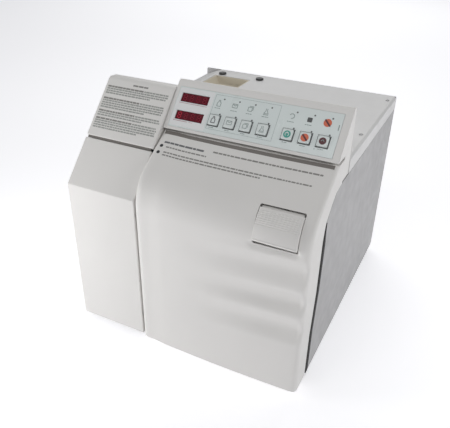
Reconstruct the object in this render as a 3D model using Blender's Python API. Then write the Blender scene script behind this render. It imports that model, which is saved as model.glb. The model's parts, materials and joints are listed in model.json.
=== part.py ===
"""Benchtop steam autoclave: a free-standing cabinet with a left column, a control hood and a
left-hung front door that closes a round chamber.

Machine coordinates: X to the right, Y back from the door's front face, Z up from the underside
of the cabinet, all in metres. The empty "machine" carries them into the part's own frame, which
stands on its feet with its origin under the middle of its box.
"""

import math

import bmesh
import bpy

# Cabinet
HALF_WIDTH = 0.1945
DEPTH = 0.4565
TOP_Z = 0.319
FOOT_HEIGHT = 0.012
CENTRE_Y = 0.2305
SHEET = 0.002
SHELL = 0.003
GAP = 0.0005
SIDE_TOP_Z = 0.294

# Front edge of the side panels, bottom to top, as (y, z)
SIDE_EDGE = (
    (0.047, 0.000),
    (0.048, 0.080),
    (0.057, 0.150),
    (0.059, 0.235),
    (0.064, 0.262),
    (0.084, 0.281),
    (0.097, 0.2905),
    (0.121, 0.294),
)

# Left column
COLUMN_RIGHT = -0.0740
COLUMN_FRONT = 0.007
COLUMN_CREASE_Z = 0.2493
TOWER_BACK = 0.151

# Door
DOOR_LEFT = -0.0733
DOOR_TOP = (0.0872, 0.3295)
DOOR_INCLINE = math.radians(33)
DOOR_BLEND = 0.060
DOOR_BOW = 0.003
# Gap between the door's rim and the side panel's front edge, and where it narrows on its way up
DOOR_RIM_GAP = {"low": 0.0040, "high": 0.0022}
DOOR_RIM_NARROWS = (0.250, 0.270)
PIVOT_RADIUS = 0.012
CORNER_RADIUS = 0.008
PIVOT = (DOOR_LEFT + PIVOT_RADIUS, DOOR_BOW + PIVOT_RADIUS)
HINGE_LEVELS = {"lower": 0.040, "upper": 0.225}

# Chamber
CHAMBER_X = 0.060
CHAMBER_Z = 0.150
BORE = 0.1143
FLANGE_FRONT = 0.058
CHAMBER_BACK = 0.440

# Handle
HANDLE_LEFT = 0.1150
HANDLE_RIGHT = 0.1780
HANDLE_AXIS = (0.0265, 0.2815)
HOOK_X = 0.147

# Control hood: its front face starts at this lip and rises at this angle
HOOD_LIP = (0.0915, 0.3335)
HOOD_ANGLE = math.radians(48.7)
HOOD_FACE = 0.0755
HOOD_RIGHT = 0.1935
KEY_SIZE = 0.015
KEY_ROW = 0.0255
KEYS = {
    "key_cycle_one": 0.0026,
    "key_cycle_two": 0.0277,
    "key_cycle_three": 0.0526,
    "key_cycle_four": 0.0779,
    "key_start": 0.1145,
    "key_stop": 0.1395,
    "key_vent": 0.1645,
}
DISPLAYS = {"display_lens_upper": 0.0518, "display_lens_lower": 0.0240}

# Fuse holder on the rear panel, as (x, z)
FUSE = (-0.090, 0.059)

# Fill well in the top cover
WELL_LOW = (-0.1545, 0.2350)
WELL_HIGH = (-0.0785, 0.4150)
FILLER = (-0.117, 0.290)

# colour, roughness, metallic
FINISHES = {
    "shell": ((0.75, 0.74, 0.72, 1), 0.5, 0.0),
    "paint": ((0.72, 0.71, 0.70, 1), 0.45, 0.0),
    "side_paint": ((0.42, 0.42, 0.42, 1), 0.45, 0.0),
    "dark_paint": ((0.07, 0.07, 0.07, 1), 0.5, 0.0),
    "beige": ((0.66, 0.60, 0.48, 1), 0.5, 0.0),
    "overlay": ((0.58, 0.66, 0.65, 1), 0.35, 0.0),
    "key": ((0.66, 0.70, 0.69, 1), 0.4, 0.0),
    "lens": ((0.12, 0.0, 0.01, 1), 0.1, 0.0),
    "black": ((0.02, 0.02, 0.02, 1), 0.6, 0.0),
    "zinc": ((0.55, 0.55, 0.56, 1), 0.4, 1.0),
    "stainless": ((0.60, 0.60, 0.59, 1), 0.25, 1.0),
    "brass": ((0.60, 0.45, 0.18, 1), 0.35, 1.0),
    "silicone": ((0.35, 0.10, 0.06, 1), 0.7, 0.0),
    "wool": ((0.55, 0.52, 0.40, 1), 0.95, 0.0),
    "board": ((0.02, 0.20, 0.08, 1), 0.5, 0.0),
    "tank": ((0.70, 0.72, 0.70, 1), 0.6, 0.0),
}


# ---------------------------------------------------------------- helpers
def clear_scene():
    for obj in list(bpy.data.objects):
        bpy.data.objects.remove(obj, do_unlink=True)


def add_empty(name, location, parent=None, rotation=(0, 0, 0)):
    empty = bpy.data.objects.new(name, None)
    bpy.context.collection.objects.link(empty)
    empty.parent = parent
    empty.location = location
    empty.rotation_euler = rotation
    return empty


def make_finish(name, key):
    colour, roughness, metallic = FINISHES[key]
    finish = bpy.data.materials.new(name)
    finish.use_nodes = True
    shader = finish.node_tree.nodes["Principled BSDF"]
    shader.inputs["Base Color"].default_value = colour
    shader.inputs["Roughness"].default_value = roughness
    shader.inputs["Metallic"].default_value = metallic
    return finish


def add_mesh(name, bm, finish, parent, origin=(0, 0, 0)):
    """Turn a bmesh drawn in the parent's coordinates into an object with the given origin."""
    bmesh.ops.translate(bm, verts=bm.verts, vec=[-value for value in origin])
    bmesh.ops.recalc_face_normals(bm, faces=bm.faces)
    mesh = bpy.data.meshes.new(name)
    bm.to_mesh(mesh)
    bm.free()
    obj = bpy.data.objects.new(name, mesh)
    bpy.context.collection.objects.link(obj)
    obj.parent = parent
    obj.location = origin
    if finish:
        mesh.materials.append(make_finish(name, finish))
        mesh.shade_smooth()
        mesh.set_sharp_from_angle(angle=math.radians(35))
    return obj


def loft(sections):
    """Close a row of equal-length loops of points into one solid."""
    bm = bmesh.new()
    rings = [[bm.verts.new(point) for point in section] for section in sections]
    count = len(rings[0])
    for lower, upper in zip(rings, rings[1:]):
        for i in range(count):
            j = (i + 1) % count
            bm.faces.new((lower[i], lower[j], upper[j], upper[i]))
    bm.faces.new(rings[0])
    bm.faces.new(rings[-1])
    return bm


def prism(outline, axis, low, high):
    """Extrude a closed outline along X (y, z), Y (x, z) or Z (x, y)."""
    place = {
        "X": lambda u, v, w: (w, u, v),
        "Y": lambda u, v, w: (u, w, v),
        "Z": lambda u, v, w: (u, v, w),
    }[axis]
    return loft([[place(u, v, w) for u, v in outline] for w in (low, high)])


def box(low, high):
    outline = ((low[0], low[1]), (high[0], low[1]), (high[0], high[1]), (low[0], high[1]))
    return prism(outline, "Z", low[2], high[2])


def circle(u, v, radius, steps=24, start=0.0):
    angles = [start + 2 * math.pi * i / steps for i in range(steps)]
    return [(u + radius * math.cos(a), v + radius * math.sin(a)) for a in angles]


def arc(u, v, radius, start, end, steps):
    angles = [math.radians(start + (end - start) * i / steps) for i in range(steps + 1)]
    return [(u + radius * math.cos(a), v + radius * math.sin(a)) for a in angles]


def rounded(low, high, radius, steps=3):
    """A rectangle with round corners, counter-clockwise."""
    points = arc(high[0] - radius, low[1] + radius, radius, -90, 0, steps)
    points += arc(high[0] - radius, high[1] - radius, radius, 0, 90, steps)
    points += arc(low[0] + radius, high[1] - radius, radius, 90, 180, steps)
    points += arc(low[0] + radius, low[1] + radius, radius, 180, 270, steps)
    return points


def turned(profile, centre, steps):
    """Spin a closed (radius, y) profile about an axis along Y through (x, z)."""
    bm = bmesh.new()
    rings = []
    for radius, y in profile:
        if radius == 0:
            rings.append([bm.verts.new((centre[0], y, centre[1]))])
        else:
            points = circle(centre[0], centre[1], radius, steps)
            rings.append([bm.verts.new((x, y, z)) for x, z in points])
    for first, second in zip(rings, rings[1:] + rings[:1]):
        if len(first) == 1 and len(second) == 1:
            continue
        for i in range(steps):
            j = (i + 1) % steps
            ring = [first[0]] if len(first) == 1 else [first[i], first[j]]
            ring += [second[0]] if len(second) == 1 else [second[j], second[i]]
            bm.faces.new(ring)
    return bm


def modify(target, tool, operation):
    tool.hide_render = True
    tool.display_type = "WIRE"
    step = target.modifiers.new(tool.name, "BOOLEAN")
    step.operation = operation
    step.solver = "EXACT"
    step.object = tool


def cut(target, bm, parent=None):
    name = f"{target.name}_cutter_{len(target.modifiers)}"
    modify(target, add_mesh(name, bm, None, parent or target.parent), "DIFFERENCE")


def fuse(target, bm, parent=None):
    name = f"{target.name}_piece_{len(target.modifiers)}"
    modify(target, add_mesh(name, bm, None, parent or target.parent), "UNION")


# ---------------------------------------------------------------- shared outlines
def side_edge_y(z):
    """Depth of the side panels' front edge at a height."""
    for (y0, z0), (y1, z1) in zip(SIDE_EDGE, SIDE_EDGE[1:]):
        if z <= z1:
            return y0 + (y1 - y0) * (z - z0) / (z1 - z0)
    return SIDE_EDGE[-1][0]


def blend_centre_z():
    """Height where the door's upright face starts to bend into its incline."""
    meeting = DOOR_TOP[1] - DOOR_TOP[0] * math.tan(DOOR_INCLINE)
    return meeting - DOOR_BLEND * math.tan((math.pi / 2 - DOOR_INCLINE) / 2)


def door_front_y(z, inset):
    """Depth of the door's front surface at a height, or of a surface inset behind it."""
    rise = z - blend_centre_z()
    radius = DOOR_BLEND - inset
    if rise <= 0:
        return inset
    if rise <= radius * math.cos(DOOR_INCLINE):
        return DOOR_BLEND - math.sqrt(radius**2 - rise**2)
    above_arc = rise - radius * math.cos(DOOR_INCLINE)
    return DOOR_BLEND - radius * math.sin(DOOR_INCLINE) + above_arc / math.tan(DOOR_INCLINE)


def door_rear_y(z):
    """Depth of the door's rear rim: its gap to the side panel narrows towards the top."""
    start, end = DOOR_RIM_NARROWS
    share = min(1.0, max(0.0, (z - start) / (end - start)))
    gap = DOOR_RIM_GAP["low"] + share * (DOOR_RIM_GAP["high"] - DOOR_RIM_GAP["low"])
    return side_edge_y(z) - gap


def door_bow(x):
    middle = (DOOR_LEFT + HALF_WIDTH) / 2
    return DOOR_BOW * ((x - middle) / (HALF_WIDTH - middle)) ** 2


def door_section(z, inset, rear):
    """Horizontal slice of the door: flank, round corner, bowed front, corner, flank."""
    left = DOOR_LEFT + inset
    right = HALF_WIDTH - inset
    front = door_front_y(z, inset)
    edge = front + DOOR_BOW
    pivot = PIVOT_RADIUS - inset
    corner = CORNER_RADIUS - inset
    points = [(left, rear)]
    points += arc(left + pivot, edge + pivot, pivot, 180, 270, 5)
    for i in range(1, 6):
        x = left + pivot + (right - corner - left - pivot) * i / 6
        points.append((x, front + door_bow(x)))
    points += arc(right - corner, edge + corner, corner, 270, 360, 3)
    points.append((right, rear))
    return [(x, y, z) for x, y in points]


def door_levels(inset):
    arc_steps = [math.sin(math.radians(57 * i / 5)) for i in range(6)]
    levels = [blend_centre_z() + (DOOR_BLEND - inset) * step for step in arc_steps]
    levels += [z for _, z in SIDE_EDGE[1:]]
    levels += DOOR_RIM_NARROWS
    kept = [inset]
    for z in sorted(levels):
        if z - kept[-1] > 0.0015:
            kept.append(z)
    return kept + [DOOR_TOP[1] - inset]


# ---------------------------------------------------------------- cabinet
def build_base(root):
    floor = [
        (-0.1910, 0.0110),
        (COLUMN_RIGHT - 0.0035, 0.0110),
        (COLUMN_RIGHT - 0.0035, 0.0600),
        (0.1918, 0.0600),
        (0.1918, 0.4538),
        (-0.1910, 0.4538),
    ]
    inner = [
        (-0.1892, 0.0128),
        (COLUMN_RIGHT - 0.0053, 0.0128),
        (COLUMN_RIGHT - 0.0053, 0.0618),
        (0.1900, 0.0618),
        (0.1900, 0.4520),
        (-0.1892, 0.4520),
    ]
    pan = add_mesh("base_pan", prism(floor, "Z", 0.0, 0.016), "zinc", root)
    cut(pan, prism(inner, "Z", SHEET, 0.020))
    places = [(x, y) for x in (-0.150, 0.150) for y in (0.090, 0.420)]
    names = ("foot_front_left", "foot_rear_left", "foot_front_right", "foot_rear_right")
    for name, (x, y) in zip(names, places):
        sections = [
            [(u, v, z) for u, v in circle(x, y, radius, 20)]
            for radius, z in ((0.0115, -FOOT_HEIGHT), (0.0125, -0.010), (0.0145, -0.0003))
        ]
        add_mesh(name, loft(sections), "black", root)


def build_side_panels(root):
    outline = [(y, z) for y, z in SIDE_EDGE] + [(0.4542, SIDE_TOP_Z), (0.4542, 0.0)]
    outer = HALF_WIDTH
    add_mesh("right_side_panel", prism(outline, "X", outer - SHEET, outer), "side_paint", root)
    add_mesh("left_side_panel", prism(outline, "X", -outer, SHEET - outer), "side_paint", root)


def build_rear_panel(root):
    corners = ((-HALF_WIDTH, 0.0), (HALF_WIDTH, TOP_Z - GAP))
    outline = rounded(*corners, 0.003)
    panel = add_mesh("rear_panel", prism(outline, "Y", 0.4545, DEPTH), "side_paint", root)
    for row in range(4):
        z = 0.180 + 0.016 * row
        cut(panel, box((0.060, 0.450, z), (0.140, 0.460, z + 0.005)))
    cut(panel, box((-0.1495, 0.450, 0.048), (-0.1205, 0.460, 0.070)))
    cut(panel, prism(circle(*FUSE, 0.0065, 20), "Y", 0.450, 0.460))

    flange = rounded((-0.1600, 0.0440), (-0.1100, 0.0740), 0.006)
    inlet = add_mesh("power_inlet", prism(flange, "Y", DEPTH + 0.0003, 0.4595), "black", root)
    fuse(inlet, box((-0.1490, 0.4300, 0.0485), (-0.1210, 0.4590, 0.0695)))
    cut(inlet, box((-0.1465, 0.4420, 0.0510), (-0.1235, 0.4650, 0.0670)))
    for i, x in enumerate((-0.1415, -0.1350, -0.1285)):
        z = 0.0610 if i == 1 else 0.0570
        fuse(inlet, box((x - 0.001, 0.4350, z - 0.002), (x + 0.001, 0.4530, z + 0.002)))
    profile = (
        (0.0, 0.4300),
        (0.0060, 0.4300),
        (0.0060, DEPTH + 0.0003),
        (0.0085, DEPTH + 0.0003),
        (0.0080, 0.4640),
        (0.0, 0.4640),
    )
    add_mesh("fuse_holder", turned(profile, FUSE, 20), "black", root)


def build_top_cover(root):
    outer = [
        (-HALF_WIDTH, SIDE_TOP_Z + GAP),
        (-HALF_WIDTH, 0.3050),
        (-0.1920, 0.3070),
        (-0.1600, TOP_Z),
        (0.1910, TOP_Z),
        (HALF_WIDTH, 0.3155),
        (HALF_WIDTH, SIDE_TOP_Z + GAP),
    ]
    inner = [
        (SHEET - HALF_WIDTH, 0.2900),
        (SHEET - HALF_WIDTH, 0.3045),
        (-0.1910, 0.3052),
        (-0.1595, TOP_Z - SHEET),
        (0.1900, TOP_Z - SHEET),
        (HALF_WIDTH - SHEET, 0.3145),
        (HALF_WIDTH - SHEET, 0.2900),
    ]
    front = TOWER_BACK + GAP
    cover = add_mesh("top_cover", prism(outer, "Y", front, 0.4542), "paint", root)
    cut(cover, prism(inner, "Y", front - 0.01, 0.4700))
    cut(cover, box((*WELL_LOW, 0.300), (*WELL_HIGH, 0.330)))

    low_x, low_y = WELL_LOW
    high_x, high_y = WELL_HIGH
    well_low = (low_x + GAP, low_y + GAP, 0.3030)
    well = add_mesh("fill_well", box(well_low, (high_x - GAP, high_y - GAP, TOP_Z - GAP)), "beige", root)
    floor = (low_x + 0.010, low_y + 0.006, high_x - 0.016, high_y - 0.006)
    mouth = (low_x + 0.0025, low_y + 0.0025, high_x - 0.0025, high_y - 0.0025)
    sections = []
    for (x0, y0, x1, y1), z in ((floor, 0.3050), (mouth, TOP_Z), (mouth, TOP_Z + 0.004)):
        sections.append([(x0, y0, z), (x1, y0, z), (x1, y1, z), (x0, y1, z)])
    cut(well, loft(sections))
    cut(well, prism(circle(*FILLER, 0.0200, 24), "Z", 0.298, 0.310))

    for name, x in (("rear_plug_left", -0.1440), ("rear_plug_right", -0.0634)):
        cut(cover, prism(circle(x, 0.4258, 0.0052, 16), "Z", 0.310, 0.330))
        plug = add_mesh(name, prism(circle(x, 0.4258, 0.0048, 16), "Z", 0.311, 0.3210), "black", root)
        fuse(plug, prism(circle(x, 0.4258, 0.0075, 16), "Z", TOP_Z + 0.0003, 0.3222))


def build_column(root):
    """The two moulded covers of the left column, with the dark joint between them."""
    left = -HALF_WIDTH
    side = [(y - 0.0008, z) for y, z in SIDE_EDGE]
    lower = [(COLUMN_FRONT, 0.0), (COLUMN_FRONT, COLUMN_CREASE_Z), (0.0607, 0.3067), side[5]]
    lower += side[4::-1]
    cover = add_mesh("column_cover", prism(lower, "X", left, COLUMN_RIGHT), "shell", root)
    hollow = [
        (COLUMN_FRONT + SHELL, -0.010),
        (COLUMN_FRONT + SHELL, COLUMN_CREASE_Z - 0.0013),
        (0.0800, 0.3219),
        (0.1300, 0.3000),
        (0.1300, -0.010),
    ]
    cut(cover, prism(hollow, "X", left + SHELL, COLUMN_RIGHT - SHELL))

    upper = [
        (0.0635, 0.3097),
        (0.1290, 0.3797),
        (0.1335, 0.3825),
        (0.1475, 0.3815),
        (TOWER_BACK, 0.3780),
        (TOWER_BACK, SIDE_TOP_Z + GAP),
        (0.1213, SIDE_TOP_Z + GAP),
        (0.0968, 0.2915),
        (0.0866, 0.2850),
    ]
    tower = add_mesh("column_top_cover", prism(upper, "X", left, COLUMN_RIGHT), "shell", root)
    hollow = [
        (0.0560, 0.2974),
        (0.1312, 0.3778),
        (0.1455, 0.3785),
        (TOWER_BACK - SHELL, 0.3760),
        (TOWER_BACK - SHELL, 0.2800),
        (0.0800, 0.2600),
    ]
    cut(tower, prism(hollow, "X", left + SHELL, COLUMN_RIGHT - SHELL))


def build_front_frame(root):
    """Steel bulkhead that carries the chamber, the two hinge arms and the strike."""
    outline = [
        (0.0645, 0.0030),
        (0.0645, 0.2620),
        (0.0880, 0.2845),
        (0.1252, 0.2925),
        (0.1252, 0.3160),
        (0.1272, 0.3160),
        (0.1272, 0.2905),
        (0.0888, 0.2826),
        (0.0665, 0.2612),
        (0.0665, 0.0030),
    ]
    frame = add_mesh("front_frame", prism(outline, "X", -0.0695, 0.1895), "dark_paint", root)
    cut(frame, prism(circle(CHAMBER_X, CHAMBER_Z, BORE + 0.0034, 56), "Y", 0.060, 0.085))
    for name, z in HINGE_LEVELS.items():
        x, y = PIVOT
        sides = [(x + 0.005, 0.0642), (x - 0.005, 0.0642)]
        outline = arc(x, y, 0.006, 200, 340, 6) + sides
        arm = add_mesh(f"hinge_arm_{name}", prism(outline, "Z", z - 0.0025, z + 0.0025), "zinc", root)
        cut(arm, prism(circle(x, y, 0.0031, 16), "Z", z - 0.01, z + 0.01))
    strip = [
        (0.0610, 0.2520),
        (0.0642, 0.2520),
        (0.0642, 0.2755),
        (0.0485, 0.2755),
        (0.0485, 0.2710),
        (0.0505, 0.2710),
        (0.0505, 0.2730),
        (0.0610, 0.2730),
    ]
    add_mesh("latch_strike", prism(strip, "X", HOOK_X - 0.009, HOOK_X + 0.009), "zinc", root)


def build_chamber(root):
    centre = (CHAMBER_X, CHAMBER_Z)
    wall = BORE + 0.0025
    profile = (
        (BORE, FLANGE_FRONT),
        (0.1260, FLANGE_FRONT),
        (0.1260, 0.0640),
        (wall, 0.0640),
        (wall, CHAMBER_BACK),
        (0.0600, CHAMBER_BACK + 0.005),
        (0.0, CHAMBER_BACK + 0.006),
        (0.0, CHAMBER_BACK + 0.003),
        (0.0600, CHAMBER_BACK + 0.002),
        (BORE, CHAMBER_BACK - 0.003),
    )
    add_mesh("chamber_vessel", turned(profile, centre, 56), "stainless", root)
    jacket = ((wall + GAP, 0.092), (0.1305, 0.092), (0.1305, 0.438), (wall + GAP, 0.438))
    add_mesh("insulation_jacket", turned(jacket, centre, 40), "wool", root)

    for name, y in (("chamber_cradle_front", 0.130), ("chamber_cradle_rear", 0.380)):
        plate = add_mesh(name, box((-0.060, y, 0.0025), (0.180, y + 0.003, 0.070)), "zinc", root)
        cut(plate, prism(circle(*centre, 0.1310, 40), "Y", y - 0.01, y + 0.01))

    # Heater: one flat loop over the chamber floor
    z = CHAMBER_Z - 0.0960
    route = [(0.020, 0.4330, z), (0.020, 0.110, z)]
    route += [(0.060 + u, 0.110 + v, z) for u, v in arc(0, 0, 0.040, 202, 338, 6)]
    route += [(0.100, 0.110, z), (0.100, 0.4330, z)]
    curve = bpy.data.curves.new("heater_element", "CURVE")
    curve.dimensions = "3D"
    curve.bevel_depth = 0.0035
    curve.bevel_resolution = 1
    curve.use_fill_caps = True
    spline = curve.splines.new("POLY")
    spline.points.add(len(route) - 1)
    for point, position in zip(spline.points, route):
        point.co = (*position, 1)
    curve.materials.append(make_finish("heater_element", "stainless"))
    heater = bpy.data.objects.new("heater_element", curve)
    bpy.context.collection.objects.link(heater)
    heater.parent = root


def build_trays(root):
    """A folded rack with two pairs of runners and a tray on each pair."""
    inner = 0.0765
    rails = {"lower": CHAMBER_Z - 0.045, "upper": CHAMBER_Z + 0.030}
    low_z = CHAMBER_Z - 0.0780
    high_z = CHAMBER_Z + 0.0700
    profile = [
        (CHAMBER_X - inner - 0.0015, low_z),
        (CHAMBER_X + inner + 0.0015, low_z),
        (CHAMBER_X + inner + 0.0015, high_z),
        (CHAMBER_X + inner, high_z),
        (CHAMBER_X + inner, low_z + 0.0015),
        (CHAMBER_X - inner, low_z + 0.0015),
        (CHAMBER_X - inner, high_z),
        (CHAMBER_X - inner - 0.0015, high_z),
    ]
    rack = add_mesh("tray_rack", prism(profile, "Y", 0.080, 0.420), "stainless", root)
    cut(rack, box((CHAMBER_X - 0.060, 0.100, low_z - 0.01), (CHAMBER_X + 0.060, 0.400, low_z + 0.01)))
    for z in rails.values():
        for side in (-1, 1):
            wall = CHAMBER_X + side * (inner + 0.0008)
            ledge = CHAMBER_X + side * (inner - 0.009)
            low = (min(wall, ledge), 0.080, z - 0.0015)
            fuse(rack, box(low, (max(wall, ledge), 0.420, z)))
    for name, z in rails.items():
        low = (CHAMBER_X - inner + 0.0010, 0.085, z + 0.0003)
        high = (CHAMBER_X + inner - 0.0010, 0.415, z + 0.0180)
        tray = add_mesh(f"tray_{name}", box(low, high), "stainless", root)
        floor = (low[0] + 0.0012, low[1] + 0.0012, low[2] + 0.0012)
        cut(tray, box(floor, (high[0] - 0.0012, high[1] - 0.0012, high[2] + 0.01)))


def build_service_parts(root):
    """Water tank, valves and electronics in the column."""
    tank_low = (-0.1880, 0.2000, 0.0800)
    tank = add_mesh("water_tank", box(tank_low, (-0.0750, 0.4400, 0.2900)), "tank", root)
    fuse(tank, prism(circle(*FILLER, 0.0190, 24), "Z", 0.2800, 0.3125))
    cut(tank, box((-0.1850, 0.2030, 0.0830), (-0.0780, 0.4370, 0.2870)))
    cut(tank, prism(circle(*FILLER, 0.0165, 24), "Z", 0.2750, 0.3200))

    for name, y in (("fill_valve", 0.260), ("vent_valve", 0.350)):
        low = (-0.1300, y - 0.0150, 0.0025)
        valve = add_mesh(name, box(low, (-0.1000, y + 0.0150, 0.0200)), "brass", root)
        fuse(valve, prism(circle(-0.1150, y, 0.0120, 16), "Z", 0.0190, 0.0520))
    relief = add_mesh("relief_valve", prism(circle(-0.0350, 0.4300, 0.0070, 6), "Z", 0.2700, 0.2860), "brass", root)
    fuse(relief, prism(circle(-0.0350, 0.4300, 0.0045, 12), "Z", 0.2840, 0.3080))
    add_mesh("main_circuit_board", box((-0.1820, 0.0700, 0.0600), (-0.1804, 0.1850, 0.2500)), "board", root)

    # Filler cap: lifts straight off the tank's neck
    x, y = FILLER
    rim = 0.3128
    carrier = add_empty("filler_cap_axis", (x, y, rim), root)
    cap = add_mesh("filler_cap", prism(circle(0, 0, 0.0225, 24), "Z", 0.0, 0.0110), "black", carrier)
    fuse(cap, prism(circle(0, 0, 0.0150, 24), "Z", -0.0100, 0.0010))
    fuse(cap, box((-0.0150, -0.0030, 0.0100), (0.0150, 0.0030, 0.0180)))


# ---------------------------------------------------------------- control hood
def build_hood(root):
    reach_y = math.cos(HOOD_ANGLE)
    reach_z = math.sin(HOOD_ANGLE)
    lip_y, lip_z = HOOD_LIP
    top = (lip_y + HOOD_FACE * reach_y, lip_z + HOOD_FACE * reach_z)
    outer = [
        (lip_y, lip_z),
        top,
        (top[0] + 0.0040, top[1] + 0.0022),
        (TOWER_BACK - 0.0010, top[1] + 0.0012),
        (TOWER_BACK, SIDE_TOP_Z + GAP),
        (0.1210, SIDE_TOP_Z + GAP),
        (0.1210, lip_z),
    ]
    hood = add_mesh("control_hood", prism(outer, "X", COLUMN_RIGHT + 0.001, HOOD_RIGHT), "shell", root)
    hollow = [
        (lip_y + 0.0065, lip_z + SHELL),
        (top[0] + 0.0018, top[1] - 0.0022),
        (TOWER_BACK - 0.0040, top[1] - 0.0022),
        (TOWER_BACK - SHELL, 0.2900),
        (0.1240, 0.2900),
        (0.1240, lip_z + SHELL),
    ]
    cut(hood, prism(hollow, "X", COLUMN_RIGHT + 0.004, HOOD_RIGHT - SHELL))

    face = add_empty("hood_face", (0, lip_y, lip_z), root, (HOOD_ANGLE, 0, 0))
    left, right = -0.0670, 0.1830
    low, high = 0.0048, 0.0682
    cut(hood, box((left, low, -0.0010), (right, high, 0.0050)), face)
    panel = (left + 0.0003, low + 0.0003, -0.0007), (right - 0.0003, high - 0.0003, 0.0002)
    overlay = add_mesh("control_overlay", box(*panel), "overlay", face)
    hole = KEY_SIZE / 2 + 0.0006
    for name, x in KEYS.items():
        opening = (x - hole, KEY_ROW - hole, -0.010), (x + hole, KEY_ROW + hole, 0.010)
        cut(hood, box(*opening), face)
        cut(overlay, box(*opening), face)
    for name, s in DISPLAYS.items():
        opening = (-0.0600, s - 0.0070, -0.010), (-0.0150, s + 0.0070, 0.010)
        cut(hood, box(*opening), face)
        cut(overlay, box(*opening), face)
        lens = (-0.0597, s - 0.0067, -0.0030), (-0.0153, s + 0.0067, -0.0002)
        add_mesh(name, box(*lens), "lens", face)
    add_mesh("display_board", box((-0.0640, 0.0160, -0.0116), (0.1800, 0.0610, -0.0100)), "board", face)

    for name, x in KEYS.items():
        half = KEY_SIZE / 2
        axis = add_empty(f"{name}_axis", (x, KEY_ROW, 0), face)
        sections = []
        for size, height in ((half, -0.0060), (half, 0.0018), (half - 0.0008, 0.0026)):
            sections.append([(u, v, height) for u, v in rounded((-size, -size), (size, size), 0.0015, 2)])
        add_mesh(name, loft(sections), "key", axis)


# ---------------------------------------------------------------- door
def build_door(root):
    hinge = add_empty("door_axis", (*PIVOT, 0), root)
    frame = add_empty("door_frame", (-PIVOT[0], -PIVOT[1], 0), hinge)

    outer = [door_section(z, 0.0, door_rear_y(z)) for z in door_levels(0.0)]
    cover = add_mesh("door_cover", loft(outer), "shell", frame)
    inner = [door_section(z, SHELL, side_edge_y(z) + 0.02) for z in door_levels(SHELL)]
    cut(cover, loft(inner))
    cut(cover, box((HANDLE_LEFT, -0.020, 0.2400), (HANDLE_RIGHT, 0.0340, 0.2885)))
    for z in HINGE_LEVELS.values():
        cut(cover, box((-0.0800, 0.0085, z - 0.0035), (-0.0640, 0.0700, z + 0.0035)))

    liner = [
        (0.0380, 0.0045),
        (0.0400, 0.0045),
        (0.0400, 0.2765),
        (0.1130, 0.3030),
        (0.1130, 0.3250),
        (0.1110, 0.3250),
        (0.1110, 0.3044),
        (0.0380, 0.2779),
    ]
    panel = add_mesh("door_inner_panel", prism(liner, "X", -0.0690, 0.1910), "shell", frame)
    for z in HINGE_LEVELS.values():
        cut(panel, box((-0.0800, 0.0300, z - 0.0040), (-0.0520, 0.0600, z + 0.0040)))
    cut(panel, prism(circle(CHAMBER_X, CHAMBER_Z, 0.0070, 20), "Y", 0.030, 0.045))
    cut(panel, box((HOOK_X - 0.0045, 0.0300, 0.2540), (HOOK_X + 0.0045, 0.0560, 0.2860)))

    # Yoke: an upright by the hinges and a cross bar that carries the pressure plate
    yoke = [
        (-0.0440, 0.0250),
        (-0.0200, 0.0250),
        (-0.0200, 0.1300),
        (0.1750, 0.1300),
        (0.1750, 0.1700),
        (-0.0200, 0.1700),
        (-0.0200, 0.2400),
        (-0.0440, 0.2400),
    ]
    bar = add_mesh("door_yoke", prism(yoke, "Y", 0.0240, 0.0375), "zinc", frame)
    cut(bar, prism(circle(CHAMBER_X, CHAMBER_Z, 0.0064, 20), "Y", 0.020, 0.040))
    stud = ((0.0, 0.0130), (0.0060, 0.0130), (0.0060, 0.0432), (0.0, 0.0432))
    bolt = add_mesh("plate_stud", turned(stud, (CHAMBER_X, CHAMBER_Z), 20), "stainless", frame)
    fuse(bolt, prism(circle(CHAMBER_X, CHAMBER_Z, 0.0110, 6), "Y", 0.0150, 0.0237))

    plate = (
        (0.0, 0.0435),
        (0.0300, 0.0435),
        (0.0900, 0.0450),
        (0.1220, 0.0450),
        (0.1220, 0.0533),
        (0.1080, 0.0533),
        (0.1040, 0.0560),
        (0.0, 0.0580),
    )
    add_mesh("pressure_plate", turned(plate, (CHAMBER_X, CHAMBER_Z), 48), "stainless", frame)
    ring = ((0.1150, 0.0536), (0.1210, 0.0536), (0.1205, 0.0577), (0.1155, 0.0577))
    add_mesh("door_gasket", turned(ring, (CHAMBER_X, CHAMBER_Z), 48), "silicone", frame)

    # Hinge blocks: two ears over and under each fixed arm, joined by a web
    x, y = PIVOT
    for name, z in HINGE_LEVELS.items():
        low = (x - 0.0060, 0.0090, z - 0.0090)
        block = add_mesh(f"hinge_block_{name}", box(low, (-0.0443, 0.0340, z + 0.0090)), "zinc", frame)
        cut(block, box((x - 0.0200, 0.0, z - 0.0030), (-0.0480, 0.0500, z + 0.0030)))
        cut(block, prism(circle(x, y, 0.0031, 16), "Z", z - 0.020, z + 0.020))
        pin = circle(x, y, 0.0028, 16)
        add_mesh(f"hinge_pin_{name}", prism(pin, "Z", z - 0.0110, z + 0.0110), "stainless", frame)
    build_handle(frame)


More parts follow.
